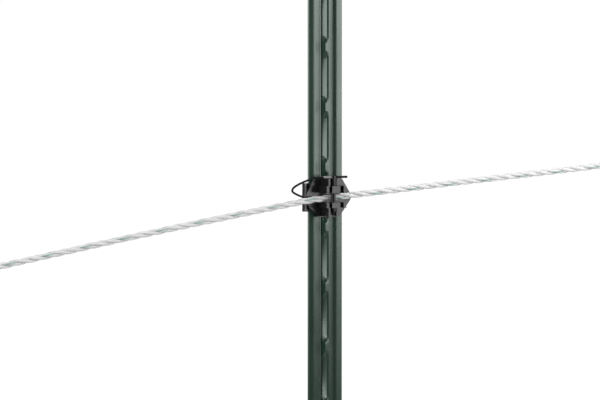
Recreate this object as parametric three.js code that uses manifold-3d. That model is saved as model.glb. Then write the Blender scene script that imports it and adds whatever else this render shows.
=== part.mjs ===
// Electric fence line post: a studded steel T-post with its anchor plate, a pin-lock
// insulator clipped between two studs, and the taut twisted rope that the insulator carries.
// Millimetres, +Z up. The origin is on the post's lower end, the studded face looks along -Y,
// and the rope runs along X.
import * as THREE from "three";
import { mergeVertices } from "three/addons/utils/BufferGeometryUtils.js";
import Module from "manifold-3d";

const wasm = await Module();
wasm.setup();

// ---------------------------------------------------------------- driving dimensions

const GAP = 0.3; // between pieces that touch

const POST = {
  length: 1219,
  ridgeFace: -2.2, // front of the rib that the studs stand on
  crestFace: 0.0, // front of the swell between the rib and each edge
  stemBack: 28.5,
};

const STUD = {
  pitch: 54,
  first: 60,
  count: 22,
  cornerCut: 0.32, // share of the half width taken by each corner's chamfer
  rings: [
    // half width, half height and y of each ring, from the base in the flange to the face
    { w: 4.3, h: 9.9, y: 1.6 },
    { w: 4.1, h: 9.7, y: -1.2 },
    { w: 3.3, h: 5.6, y: -3.8 },
    { w: 2.3, h: 3.3, y: -4.8 },
  ],
};

const ANCHOR = {
  top: 312,
  shoulder: 262,
  bottom: 185,
  halfWidth: 47,
  halfFoot: 24,
  corner: 7,
  thickness: 2.6,
  rivetX: 8.6,
  rivetZ: 262,
};

const RIVET = { shank: 3, head: 5.2, dome: 2.6, hole: 3.3, tailFace: 3.1 };

const INSULATOR = {
  z: 843, // halfway between two studs
  shieldFront: -5.6,
  shieldBack: -3.0,
  chamfer: 1.1,
  lipFront: 3.1,
  lipReach: 12,
  ribHalf: 3.2,
};

// The side clips, as distances from the middle of the post: a tall one and a short one.
const LEFT_CLIP = { side: -1, inner: 18.7, outer: 21.2, halfHeight: 12.8, front: 0.2, back: 5.9 };
const RIGHT_CLIP = { side: 1, inner: 18.1, outer: 20.5, halfHeight: 5.2, front: 0.2, back: 5.4 };

const JAW = {
  halfWidth: 10.05,
  cheek: 2.6,
  block: [-4.4, 3.9],
  front: -19.6,
  pocketBack: -13.2,
  upper: [4.4, 10.7],
  lower: [-9.0, -4.2],
  gussetTop: 17.2,
  gussetBottom: -16.8,
};

const PIN = {
  x: -0.9,
  y: -14.6,
  radius: 2.4,
  hole: 2.7,
  tip: -15.4,
  tipTaper: 3,
  headBottom: 17.5,
  headTop: 19.7,
  head: [-11.3, 13],
  headDepth: 4.4,
};

const TETHER = { radius: 0.95, sides: 8, steps: 44 };

const ROPE = { diameter: 6, sides: 12, y: -8.9, step: 14, eyeStep: 4.4 };

// The rope's line on each side of the pin, out to its clamp: x, and height over the insulator.
const ROPE_RIGHT = [
  [0, -0.1],
  [15, 1.1],
  [26, 1.9],
  [72, 5.5],
  [125, 9.8],
  [177, 13.8],
  [231, 17.9],
  [284, 22.1],
  [302, 23.5],
];
const ROPE_LEFT = [
  [0, -0.1],
  [-20, -1.8],
  [-42, -5.0],
  [-82, -11.1],
  [-133, -19.0],
  [-183, -27.0],
  [-233, -35.2],
  [-282, -43.5],
  [-331, -51.9],
  [-347, -54.6],
];

// The eye at a rope end: distance past the clamp's inner edge, and offset across the line.
const EYE = [
  [12, 0],
  [22, 0],
  [28, -1.0],
  [35, -3.8],
  [44, -7.4],
  [54, -8.8],
  [63, -5.4],
  [67, 3.3],
  [63, 12.0],
  [54, 15.4],
  [44, 14.0],
  [35, 10.4],
  [28, 7.6],
  [22, 6.6],
  [12, 6.6],
  [1.5, 6.6],
];

const CLAMP = {
  length: 24,
  halfHeight: 17,
  legSpacing: 6.6,
  seam: 0.5, // half the gap between the two plates
  sheet: 1.8,
  bore: 3.3,
  corner: 3,
  boltOffset: 12.2,
};

const BOLT = { shank: 2, hole: 2.3, head: 3.7, headHeight: 2.4, nutRadius: 4.04, nut: 3.2 };

// ---------------------------------------------------------------- finishes

const FINISHES = {
  greenPaint: { color: 0x2c4136, roughness: 0.32, metalness: 0.0 },
  blackPlastic: { color: 0x17181a, roughness: 0.42, metalness: 0.0 },
  whiteRope: { color: 0xe9ebe9, roughness: 0.6, metalness: 0.0 },
  zinc: { color: 0xb4b8ba, roughness: 0.35, metalness: 1.0 },
};

// ---------------------------------------------------------------- solids

// A closed geometry as a manifold-3d solid.
function solid(geometry) {
  const bare = geometry.index ? geometry.toNonIndexed() : geometry.clone();
  bare.deleteAttribute("normal");
  bare.deleteAttribute("uv");
  const merged = mergeVertices(bare, 1e-4);
  return new wasm.Manifold(
    new wasm.Mesh({
      numProp: 3,
      vertProperties: merged.attributes.position.array,
      triVerts: new Uint32Array(merged.index.array),
    }),
  );
}

// A solid as a flat-shaded geometry.
function geometryOf(manifold) {
  const mesh = manifold.getMesh();
  const geometry = new THREE.BufferGeometry();
  geometry.setAttribute("position", new THREE.BufferAttribute(mesh.vertProperties, 3));
  geometry.setIndex(new THREE.BufferAttribute(mesh.triVerts, 1));
  const flat = geometry.toNonIndexed();
  flat.computeVertexNormals();
  return flat;
}

function unite(parts) {
  return parts.reduce((all, part) => all.add(part));
}

function box(x0, x1, y0, y1, z0, z1) {
  const geometry = new THREE.BoxGeometry(x1 - x0, y1 - y0, z1 - z0);
  geometry.translate((x0 + x1) / 2, (y0 + y1) / 2, (z0 + z1) / 2);
  return solid(geometry);
}

// A round bar along Z.
function barZ(radius, x, y, z0, z1, sides = 24) {
  const geometry = new THREE.CylinderGeometry(radius, radius, z1 - z0, sides);
  geometry.rotateX(Math.PI / 2);
  geometry.translate(x, y, (z0 + z1) / 2);
  return solid(geometry);
}

// A round bar along Y.
function barY(radius, x, z, y0, y1, sides = 20) {
  const geometry = new THREE.CylinderGeometry(radius, radius, y1 - y0, sides);
  geometry.translate(x, (y0 + y1) / 2, z);
  return solid(geometry);
}

// A round bar along X.
function barX(radius, y, z, x0, x1, sides = 24) {
  const geometry = new THREE.CylinderGeometry(radius, radius, x1 - x0, sides);
  geometry.rotateZ(Math.PI / 2);
  geometry.translate((x0 + x1) / 2, y, z);
  return solid(geometry);
}

// An outline in X and Z, drawn out from y0 to y1, where y1 is the greater.
function plateY(shape, y0, y1, curveSegments = 6) {
  const options = { depth: y1 - y0, bevelEnabled: false, curveSegments };
  const geometry = new THREE.ExtrudeGeometry(shape, options);
  geometry.rotateX(Math.PI / 2);
  geometry.translate(0, y1, 0);
  return solid(geometry);
}

// A closed body through rings of equal point count, each ring seen from its far end
// running anticlockwise, with flat fans as its ends.
function loft(rings) {
  const size = rings[0].length;
  const position = rings.flat(2);
  const index = [];
  for (let r = 0; r + 1 < rings.length; r++) {
    for (let i = 0; i < size; i++) {
      const a = r * size + i;
      const b = r * size + ((i + 1) % size);
      index.push(a, b, b + size, a, b + size, a + size);
    }
  }
  const last = (rings.length - 1) * size;
  for (let i = 1; i + 1 < size; i++) {
    index.push(0, i + 1, i);
    index.push(last, last + i, last + i + 1);
  }
  const geometry = new THREE.BufferGeometry();
  geometry.setAttribute("position", new THREE.Float32BufferAttribute(position, 3));
  geometry.setIndex(index);
  return geometry;
}

// A polygon with its corners rounded to a radius.
function roundedOutline(corners, radius) {
  const shape = new THREE.Shape();
  const toward = (from, to) => {
    const [dx, dy] = [to[0] - from[0], to[1] - from[1]];
    const share = radius / Math.hypot(dx, dy);
    return [from[0] + dx * share, from[1] + dy * share];
  };
  corners.forEach((corner, i) => {
    const before = corners[(i + corners.length - 1) % corners.length];
    const after = corners[(i + 1) % corners.length];
    const start = toward(corner, before);
    const end = toward(corner, after);
    if (i === 0) shape.moveTo(...start);
    else shape.lineTo(...start);
    shape.quadraticCurveTo(...corner, ...end);
  });
  shape.closePath();
  return shape;
}

// A turned piece about the Y axis at (x, z), from a profile of radius and y.
function turnedY(profile, x, z, sides = 20) {
  const points = profile.map(([radius, y]) => new THREE.Vector2(radius, y));
  const geometry = new THREE.LatheGeometry(points, sides);
  geometry.translate(x, 0, z);
  return solid(geometry);
}

// A round tube along a smooth curve through the points, in so many steps.
function tube(points, radius, sides, steps) {
  const curve = new THREE.CatmullRomCurve3(points, false, "centripetal");
  const section = new THREE.Shape();
  section.absarc(0, 0, radius, 0, 2 * Math.PI);
  const curveSegments = sides / 2; // a full circle is drawn in twice as many
  const options = { steps, extrudePath: curve, bevelEnabled: false, curveSegments };
  return new THREE.ExtrudeGeometry(section, options);
}

function named(name, shape, finish) {
  const geometry = shape.isBufferGeometry ? shape : geometryOf(shape);
  const mesh = new THREE.Mesh(geometry, new THREE.MeshStandardMaterial(FINISHES[finish]));
  mesh.name = name;
  return mesh;
}

// ---------------------------------------------------------------- post

// The rolled T section, as x and y of its right half from the rib to the stem's tip.
const HALF_SECTION = [
  [0.95, POST.ridgeFace],
  [1.3, -1.9],
  [3.1, 0.6],
  [4.6, 1.1],
  [7.6, 1.05],
  [10.6, 0.1],
  [11.5, POST.crestFace],
  [12.5, 0.1],
  [17.1, 1.2],
  [17.5, 1.7],
  [17.5, 2.4],
  [17.0, 2.9],
  [5.2, 3.0],
  [2.9, 3.8],
  [1.8, 5.8],
  [1.2, POST.stemBack - 0.7],
  [0.6, POST.stemBack],
];

// A stud: a blunt wedge on the rib, with sloping ends and chamfered corners.
function stud(z) {
  const rings = STUD.rings.map(({ w, h, y }) => {
    const [cw, ch] = [w * (1 - STUD.cornerCut), h * (1 - STUD.cornerCut / 2)];
    const corners = [
      [w, -ch],
      [w, ch],
      [cw, h],
      [-cw, h],
      [-w, ch],
      [-w, -ch],
      [-cw, -h],
      [cw, -h],
    ];
    return corners.map(([x, dz]) => [x, y, z + dz]);
  });
  return solid(loft(rings));
}

function postRail() {
  const right = HALF_SECTION.map(([x, y]) => new THREE.Vector2(x, y));
  const left = HALF_SECTION.map(([x, y]) => new THREE.Vector2(-x, y)).reverse();
  const section = new THREE.Shape([...right, ...left]);
  const options = { depth: POST.length, bevelEnabled: false };
  const studs = [];
  for (let k = 0; k < STUD.count; k++) {
    const z = STUD.first + k * STUD.pitch;
    if (z < ANCHOR.bottom || z > ANCHOR.top) studs.push(stud(z));
  }
  let rail = unite([solid(new THREE.ExtrudeGeometry(section, options)), ...studs]);
  for (const side of [-1, 1]) {
    rail = rail.subtract(barY(RIVET.hole, side * ANCHOR.rivetX, ANCHOR.rivetZ, -3, 6));
  }
  return named("post_rail", rail, "greenPaint");
}

function anchorPlate() {
  const right = [
    [ANCHOR.halfFoot, ANCHOR.bottom],
    [ANCHOR.halfWidth, ANCHOR.shoulder],
    [ANCHOR.halfWidth, ANCHOR.top],
  ];
  const left = right.map(([x, z]) => [-x, z]).reverse();
  const back = POST.ridgeFace - GAP;
  const outline = roundedOutline([...right, ...left], ANCHOR.corner);
  let plate = plateY(outline, back - ANCHOR.thickness, back);
  for (const side of [-1, 1]) {
    plate = plate.subtract(barY(RIVET.hole, side * ANCHOR.rivetX, ANCHOR.rivetZ, -9, 3));
  }
  return named("anchor_plate", plate, "greenPaint");
}

// A round-headed rivet through the anchor plate and the flange, closed behind the flange.
function anchorRivet(name, side) {
  const headFace = POST.ridgeFace - GAP - ANCHOR.thickness - GAP;
  const tailFace = RIVET.tailFace + GAP;
  const dome = (share) => Math.sqrt(1 - share * share);
  const shares = [0.97, 0.82, 0.6, 0.3];
  const profile = [
    [0, headFace - RIVET.dome],
    ...shares.map((s) => [RIVET.head * dome(s), headFace - RIVET.dome * s]),
    [RIVET.head, headFace],
    [RIVET.shank, headFace],
    [RIVET.shank, tailFace],
    [RIVET.head - 0.8, tailFace],
    ...[...shares]
      .reverse()
      .map((s) => [(RIVET.head - 0.8) * dome(s), tailFace + RIVET.dome * 0.8 * s]),
    [0, tailFace + RIVET.dome * 0.8],
  ];
  return named(name, turnedY(profile, side * ANCHOR.rivetX, ANCHOR.rivetZ), "greenPaint");
}

// ---------------------------------------------------------------- insulator

// The shield's outline, anticlockwise from its lower right corner, as x and z.
const SHIELD_CORNERS = [
  [11.6, -17.6],
  [23.2, -2.2],
  [23.2, 2.2],
  [13.6, 17.6],
  [-14.4, 17.6],
  [-22.6, 2.4],
  [-22.3, -4.6],
  [-10.9, -17.6],
];

function shield() {
  const inset = (share) => SHIELD_CORNERS.map(([x, z]) => [x * share, z * share]);
  const { shieldBack, shieldFront, chamfer } = INSULATOR;
  const at = (outline, y) => outline.map(([x, z]) => [x, y, z]);
  return solid(
    loft([
      at(inset(1), shieldBack),
      at(inset(1), shieldFront + chamfer),
      at(inset(0.93), shieldFront),
    ]),
  );
}

// A side clip: an upright bar beside the flange, its lip behind the flange, and the rib
// that carries it from the shield.
function clip({ side, inner, outer, halfHeight, front, back }) {
  const { shieldFront, lipFront, lipReach, ribHalf } = INSULATOR;
  const span = (a, b) => (side > 0 ? [a, b] : [-b, -a]);
  return unite([
    box(...span(inner, outer), front, back, -halfHeight, halfHeight),
    box(...span(lipReach, outer), lipFront, back, -halfHeight, halfHeight),
    box(...span(inner - 1, outer), shieldFront + 1.2, front + 0.6, -ribHalf, ribHalf),
  ]);
}

// One jaw: two cheeks and a middle block on a solid root, with a gusset that guides the pin.
function jaw([z0, z1], gussetEnd) {
  const { halfWidth, cheek, block, front, pocketBack } = JAW;
  const root = INSULATOR.shieldFront + 0.6;
  const body = box(-halfWidth, halfWidth, front, root, z0, z1);
  const inside = halfWidth - cheek;
  const pockets = [
    box(-inside, block[0], front - 1, pocketBack, z0 - 1, z1 + 1),
    box(block[1], inside, front - 1, pocketBack, z0 - 1, z1 + 1),
  ];
  const [g0, g1] = gussetEnd > 0 ? [z1 - 0.5, gussetEnd] : [gussetEnd, z0 + 0.5];
  const tall = box(-7.6, -6.1, front + 1, root, g0, g1);
  const low = box(6.1, 7.6, INSULATOR.shieldFront - 3, root, g0, g1);
  return unite([body.subtract(unite(pockets)), tall, low]);
}

function insulatorBody() {
  const sideBack = POST.crestFace - GAP;
  const middleBack = POST.ridgeFace - GAP;
  const seat = INSULATOR.shieldBack - 0.6;
  const pads = [
    box(-13, -10, seat, sideBack, -14, 14),
    box(10, 13, seat, sideBack, -14, 14),
    box(-2.2, 2.2, seat, middleBack, -15.5, 15.5),
  ];
  const body = unite([
    shield(),
    clip(LEFT_CLIP),
    clip(RIGHT_CLIP),
    ...pads,
    jaw(JAW.upper, JAW.gussetTop),
    jaw(JAW.lower, JAW.gussetBottom),
  ]);
  const hole = barZ(PIN.hole, PIN.x, PIN.y, -30, 30);
  return named("insulator_body", body.subtract(hole), "blackPlastic");
}

function lockingPin() {
  const { x, y, radius, tip, tipTaper, headBottom, headTop, head, headDepth } = PIN;
  const point = new THREE.CylinderGeometry(radius, radius * 0.62, tipTaper, 24);
  point.rotateX(Math.PI / 2);
  point.translate(x, y, tip + tipTaper / 2);
  const half = headDepth / 2;
  const pin = unite([
    barZ(radius, x, y, tip + tipTaper, headBottom + 0.5),
    solid(point),
    box(...head, y - half, y + half, headBottom, headTop),
    barZ(radius + 0.5, x, y, headBottom - 0.6, headTop + 0.7),
  ]);
  return named("locking_pin", pin, "blackPlastic");
}

// The strap that keeps the pin with the insulator, from the pin's head to the shield's tip.
const TETHER_POINTS = [
  [-11.6, -14.6, 18.6],
  [-16.0, -14.1, 18.8],
  [-20.9, -13.6, 17.7],
  [-25.7, -13.0, 16.2],
  [-31.4, -12.2, 14.1],
  [-37.0, -11.2, 11.3],
  [-39.6, -10.3, 9.0],
  [-39.8, -9.3, 6.7],
  [-37.4, -8.2, 4.9],
  [-32.6, -6.9, 2.8],
  [-27.7, -5.6, 1.2],
  [-22.9, -4.4, 0.9],
];

function pinTether() {
  const points = TETHER_POINTS.map((point) => new THREE.Vector3(...point));
  const strap = tube(points, TETHER.radius, TETHER.sides, TETHER.steps);
  return named("pin_tether", strap, "blackPlastic");
}

function insulator() {
  const group = new THREE.Group();
  group.position.z = INSULATOR.z;
  group.add(insulatorBody(), lockingPin(), pinTether());
  return group;
}

// ---------------------------------------------------------------- rope and its ends

// The direction of a rope line at its end, as an angle from +X toward +Z.
function endAngle(line) {
  const [[x0, z0], [x1, z1]] = line.slice(-2);
  return Math.atan2(z1 - z0, x1 - x0);
}

// One side of the rope, from the pin to the middle of its clamp.
function ropeSide(name, line) {
  const angle = endAngle(line);
  const [[x0, z0], [x1, z1]] = line.slice(0, 2);
  const start = GAP / 2 / Math.hypot(x1 - x0, z1 - z0);
  const inner = [x0 + (x1 - x0) * start, z0 + (z1 - z0) * start];
  const reach = CLAMP.length / 2 - GAP / 2;
  const [xe, ze] = line[line.length - 1];
  const outer = [xe + reach * Math.cos(angle), ze + reach * Math.sin(angle)];
  const points = [inner, ...line.slice(1), outer].map(
    ([x, z]) => new THREE.Vector3(x, ROPE.y, z),
  );
  const length = Math.hypot(outer[0] - inner[0], outer[1] - inner[1]);
  const steps = Math.ceil(length / ROPE.step);
  return named(name, tube(points, ROPE.diameter / 2, ROPE.sides, steps), "whiteRope");
}

// The eye, which leaves the middle of the clamp and comes back beside the main line.
function ropeEye(name) {
  const first = [EYE[0][0] + GAP / 2, EYE[0][1]];
  const points = [first, ...EYE.slice(1)].map(([u, v]) => new THREE.Vector3(u, 0, v));
  const length = new THREE.CatmullRomCurve3(points, false, "centripetal").getLength();
  const steps = Math.ceil(length / ROPE.eyeStep);
  return named(name, tube(points, ROPE.diameter / 2, ROPE.sides, steps), "whiteRope");
}

// One pressed plate, with a channel over the two legs of rope. side is -1 at the front.
function clampPlate(name, side) {
  const { length, halfHeight, legSpacing, seam, sheet, bore, corner, boltOffset } = CLAMP;
  const middle = legSpacing / 2;
  const corners = [
    [0, middle - halfHeight],
    [length, middle - halfHeight],
    [length, middle + halfHeight],
    [0, middle + halfHeight],
  ];
  const order = (a, b) => [Math.min(side * a, side * b), Math.max(side * a, side * b)];
  const flat = plateY(roundedOutline(corners, corner), ...order(seam, seam + sheet));
  const outer = bore + sheet;
  const hump = unite([
    barX(outer, 0, 0, 0, length),
    barX(outer, 0, legSpacing, 0, length),
    box(0, length, -outer, outer, 0, legSpacing),
  ]).intersect(box(-1, length + 1, ...order(seam, outer + 1), -20, 30));
  const channel = unite([
    barX(bore, 0, 0, -1, length + 1),
    barX(bore, 0, legSpacing, -1, length + 1),
    box(-1, length + 1, -bore, bore, 0, legSpacing),
  ]);
  const holes = [-1, 1].map((way) =>
    barY(BOLT.hole, length / 2, middle + way * boltOffset, -12, 12),
  );
  return named(name, flat.add(hump).subtract(unite([channel, ...holes])), "zinc");
}

// A pan-headed bolt from the front plate through to its nut.
function clampBolt(name, z) {
  const face = -(CLAMP.seam + CLAMP.sheet + GAP);
  const end = -face + BOLT.nut + 1.6;
  const { head, headHeight, shank } = BOLT;
  const profile = [
    [0, face - headHeight],
    [head * 0.55, face - headHeight],
    [head * 0.86, face - headHeight * 0.8],
    [head, face - headHeight * 0.35],
    [head, face],
    [shank, face],
    [shank, end - 0.5],
    [shank - 0.5, end],
    [0, end],
  ];
  return named(name, turnedY(profile, CLAMP.length / 2, z), "zinc");
}

function clampNut(name, z) {
  const face = CLAMP.seam + CLAMP.sheet + GAP;
  const nut = barY(BOLT.nutRadius, CLAMP.length / 2, z, face, face + BOLT.nut, 6);
  const bore = barY(BOLT.hole, CLAMP.length / 2, z, face - 1, face + BOLT.nut + 1);
  return named(name, nut.subtract(bore), "zinc");
}

// A rope end: its eye and the two-plate clamp that closes it, turned along the rope line.
function ropeEnd(side, line) {
  const group = new THREE.Group();
  const [x, z] = line[line.length - 1];
  group.position.set(x, ROPE.y, z);
  group.rotation.y = -endAngle(line);
  group.add(ropeEye(`rope_eye_${side}`));
  group.add(clampPlate(`clamp_${side}_front`, -1), clampPlate(`clamp_${side}_back`, 1));
  for (const [place, way] of [["inner", -1], ["outer", 1]]) {
    const across = CLAMP.legSpacing / 2 + way * CLAMP.boltOffset;
    group.add(clampBolt(`clamp_${side}_bolt_${place}`, across));
    group.add(clampNut(`clamp_${side}_nut_${place}`, across));
  }
  return group;
}

function rope() {
  const group = new THREE.Group();
  group.position.z = INSULATOR.z;
  group.add(ropeSide("rope_left", ROPE_LEFT), ropeSide("rope_right", ROPE_RIGHT));
  group.add(ropeEnd("left", ROPE_LEFT), ropeEnd("right", ROPE_RIGHT));
  return group;
}

// ---------------------------------------------------------------- assembly

const linePost = new THREE.Group();
linePost.add(postRail(), anchorPlate());
linePost.add(anchorRivet("anchor_rivet_left", -1), anchorRivet("anchor_rivet_right", 1));
linePost.add(insulator(), rope());

export default linePost;
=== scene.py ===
"""Looks of an electric fence line post: T-post, pin-lock insulator, twisted rope and end clamps."""
import sys
import logging
import math
from contextlib import contextmanager
from dataclasses import dataclass, field
from enum import Enum
from typing import Callable, Iterator, Sequence

import bpy
from mathutils import Matrix, Vector


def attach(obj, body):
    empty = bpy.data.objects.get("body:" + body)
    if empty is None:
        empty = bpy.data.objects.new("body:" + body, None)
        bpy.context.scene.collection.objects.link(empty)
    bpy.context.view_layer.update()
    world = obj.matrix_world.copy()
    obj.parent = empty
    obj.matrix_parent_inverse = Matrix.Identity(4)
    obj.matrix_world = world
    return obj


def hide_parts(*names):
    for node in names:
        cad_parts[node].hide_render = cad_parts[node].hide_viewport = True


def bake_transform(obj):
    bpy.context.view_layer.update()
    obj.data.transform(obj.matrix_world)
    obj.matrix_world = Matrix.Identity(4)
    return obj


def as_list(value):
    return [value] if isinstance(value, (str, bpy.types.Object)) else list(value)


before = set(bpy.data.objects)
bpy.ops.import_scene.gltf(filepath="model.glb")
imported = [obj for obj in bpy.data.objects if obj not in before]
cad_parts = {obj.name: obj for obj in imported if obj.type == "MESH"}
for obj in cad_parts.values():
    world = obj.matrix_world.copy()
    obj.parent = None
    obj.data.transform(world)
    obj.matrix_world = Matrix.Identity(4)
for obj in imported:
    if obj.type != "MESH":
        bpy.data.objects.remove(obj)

log = logging.getLogger("line_post")
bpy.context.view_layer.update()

MM = 0.001
POST_BODY = "post"
PIN_BODY = "pin"
Point2 = tuple[float, float]
Point3 = tuple[float, float, float]


class Slot(Enum):
    """The record's material slots."""

    PAINT = "post_paint"
    PLASTIC = "black_polymer"
    ROPE = "white_polyrope"
    ZINC = "zinc_plate"


class End(Enum):
    """The two ends of the rope."""

    LEFT = "left"
    RIGHT = "right"


def round_corners(corners: Sequence[Point3], steps: int) -> list[Point2]:
    """Round the corners of a closed outline.

    Args:
        corners: Each corner's two coordinates and its radius, which may be 0.
        steps: Straight steps across each rounding.

    Returns:
        The outline's points.
    """
    made: list[Point2] = []
    for i, (x, y, radius) in enumerate(corners):
        if radius == 0:
            made.append((x, y))
            continue
        here = Vector((x, y))
        ends = []
        for other in (corners[i - 1], corners[(i + 1) % len(corners)]):
            away = Vector(other[:2]) - here
            ends.append(here + away * min(0.45, radius / away.length))
        for k in range(steps + 1):
            t = k / steps
            at = ends[0] * (1 - t) ** 2 + here * 2 * t * (1 - t) + ends[1] * t**2
            made.append((at.x, at.y))
    return made


def distances(line: Sequence[Vector]) -> list[float]:
    """How far along a line each of its points is.

    Args:
        line: The points.

    Returns:
        A distance for each point.
    """
    made = [0.0]
    for a, b in zip(line, line[1:]):
        made.append(made[-1] + (b - a).length)
    return made


def heading(line: Sequence[Vector], i: int) -> Vector:
    """The direction of a line at one of its points."""
    return (line[min(i + 1, len(line) - 1)] - line[max(i - 1, 0)]).normalized()


def sweep_faces(start: int, rings: int, sides: int) -> list[tuple[int, ...]]:
    """The faces of a closed tube made of rings: its sides in order, then its two ends.

    Args:
        start: Number of its first vertex.
        rings: How many rings it has.
        sides: Vertices in a ring.

    Returns:
        The vertices of each face.
    """
    faces: list[tuple[int, ...]] = []
    for i in range(rings - 1):
        for k in range(sides):
            a, b = start + i * sides + k, start + i * sides + (k + 1) % sides
            faces.append((a, b, b + sides, a + sides))
    first, last = (range(at, at + sides) for at in (start, start + (rings - 1) * sides))
    return [*faces, tuple(reversed(first)), tuple(last)]


# ------------------------------------------------------------------ modelling bench


class Bench:
    """The modelling operators, each acting on one piece at a time."""

    @staticmethod
    def only(piece: bpy.types.Object) -> None:
        """Select one piece and make it active."""
        bpy.ops.object.select_all(action="DESELECT")
        piece.select_set(True)
        bpy.context.view_layer.objects.active = piece

    @staticmethod
    @contextmanager
    def editing(piece: bpy.types.Object, action: str | None = "SELECT") -> Iterator[None]:
        """Edit one piece's mesh with all or none of it selected, or with None as it stands.

        Args:
            piece: The piece to edit.
            action: "SELECT", "DESELECT" or None.
        """
        Bench.only(piece)
        bpy.ops.object.mode_set(mode="EDIT")
        if action:
            bpy.ops.mesh.select_all(action=action)
        yield
        bpy.ops.object.mode_set(mode="OBJECT")

    @staticmethod
    def modify(piece: bpy.types.Object, kind: str, **settings: object) -> None:
        """Put a modifier on a piece and apply it.

        Args:
            piece: The piece to change.
            kind: The type of modifier.
            settings: Its properties.
        """
        Bench.only(piece)
        modifier = piece.modifiers.new("step", kind)
        for key, value in settings.items():
            setattr(modifier, key, value)
        bpy.ops.object.modifier_apply(modifier=modifier.name)

    @staticmethod
    def smooth(piece: bpy.types.Object, degrees: float) -> None:
        """Shade a piece smooth, apart from edges sharper than an angle."""
        Bench.only(piece)
        bpy.ops.object.shade_smooth_by_angle(angle=math.radians(degrees))

    @staticmethod
    def block(low: Point3, high: Point3) -> bpy.types.Object:
        """Add a box between two corners, in millimetres.

        Args:
            low: The corner with the lowest coordinates.
            high: The corner with the highest.

        Returns:
            The box.
        """
        bpy.ops.object.select_all(action="DESELECT")
        middle = [(a + b) / 2 * MM for a, b in zip(low, high)]
        size = [(b - a) * MM for a, b in zip(low, high)]
        bpy.ops.mesh.primitive_cube_add(size=1, location=middle, scale=size)
        piece = bpy.context.active_object
        Bench.only(piece)
        bpy.ops.object.transform_apply(location=True, rotation=True, scale=True)
        return piece

    @staticmethod
    def outline(points: Sequence[Point3], fill: str = "NGON") -> bpy.types.Object:
        """Add a closed outline through points in millimetres, filled or open.

        Args:
            points: Its corners in order.
            fill: "NGON" for a face, or "NOTHING" for edges only.

        Returns:
            The flat piece.
        """
        bpy.ops.object.select_all(action="DESELECT")
        bpy.ops.mesh.primitive_circle_add(vertices=len(points), radius=MM, fill_type=fill)
        piece = bpy.context.active_object
        for vertex, point in zip(piece.data.vertices, points):
            vertex.co = [value * MM for value in point]
        return piece

    @staticmethod
    def drawn(points: Sequence[Point3], sweep: Point3) -> bpy.types.Object:
        """Add a face through points and extrude it by a vector, both in millimetres.

        Args:
            points: The outline's corners in order.
            sweep: How far it is extruded along each axis.

        Returns:
            The closed piece.
        """
        piece = Bench.outline(points)
        with Bench.editing(piece):
            move = {"value": [value * MM for value in sweep]}
            bpy.ops.mesh.extrude_region_move(TRANSFORM_OT_translate=move)
            Bench.face_outwards()
        return piece

    @staticmethod
    def turned(profile: Sequence[Point2], centre: Point3, axis: str, sides: int = 32) -> bpy.types.Object:
        """Add a turned piece by extruding a round face and widening or narrowing each step.

        Args:
            profile: Radius and distance along the axis at each step, in millimetres.
            centre: A point on the axis, in millimetres.
            axis: "Y" or "Z".
            sides: Corners of the round face.

        Returns:
            The closed piece.
        """
        bpy.ops.object.select_all(action="DESELECT")
        radius, start = profile[0]
        bpy.ops.mesh.primitive_circle_add(vertices=sides, radius=radius * MM, fill_type="NGON")
        piece = bpy.context.active_object
        with Bench.editing(piece):
            for (before, z0), (after, z1) in zip(profile, profile[1:]):
                move = {"value": (0, 0, (z1 - z0) * MM)}
                bpy.ops.mesh.extrude_region_move(TRANSFORM_OT_translate=move)
                share = after / before
                height = (0, 0, (z1 - start) * MM)
                bpy.ops.transform.resize(value=(share, share, 1), center_override=height)
            Bench.face_outwards()
        lift = Matrix.Translation((0, 0, start * MM))
        turn = Matrix.Rotation(-math.pi / 2, 4, "X") if axis == "Y" else Matrix.Identity(4)
        place = Matrix.Translation([value * MM for value in centre])
        piece.data.transform(place @ turn @ lift)
        return piece

    @staticmethod
    def bar(radius: float, ends: Point2, centre: Point3, axis: str, sides: int = 32) -> bpy.types.Object:
        """Add a straight bar of one radius between two distances along its axis."""
        return Bench.turned([(radius, end) for end in ends], centre, axis, sides)

    @staticmethod
    def face_outwards() -> None:
        """Merge doubles and turn every face outwards, in edit mode."""
        bpy.ops.mesh.select_all(action="SELECT")
        bpy.ops.mesh.remove_doubles(threshold=1e-6)
        bpy.ops.mesh.normals_make_consistent(inside=False)

    @staticmethod
    def combine(piece: bpy.types.Object, others: Sequence[bpy.types.Object], how: str) -> bpy.types.Object:
        """Join pieces to a piece, cut them out of it, or keep what they share, and delete them.

        Args:
            piece: The piece that is kept.
            others: The pieces that are used up.
            how: "UNION", "DIFFERENCE" or "INTERSECT".

        Returns:
            The kept piece.
        """
        for other in others:
            Bench.modify(piece, "BOOLEAN", operation=how, solver="EXACT", object=other)
            bpy.data.objects.remove(other, do_unlink=True)
        return piece

    @staticmethod
    def copy(piece: bpy.types.Object) -> bpy.types.Object:
        """Copy a piece with its own mesh.

        Args:
            piece: The piece to copy.

        Returns:
            The copy.
        """
        made = piece.copy()
        made.data = piece.data.copy()
        bpy.context.scene.collection.objects.link(made)
        return made

    @staticmethod
    def push(piece: bpy.types.Object, picked: Callable[[Vector], bool], move: Point3) -> None:
        """Move the vertices whose places pass a test, in millimetres.

        Args:
            piece: The piece to change.
            picked: The test, on a place in metres.
            move: How far they move along each axis.
        """
        with Bench.editing(piece, "DESELECT"):
            bpy.ops.mesh.select_mode(type="VERT")
        for vertex in piece.data.vertices:
            vertex.select = picked(vertex.co)
        with Bench.editing(piece, None):
            bpy.ops.transform.translate(value=[value * MM for value in move])

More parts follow.
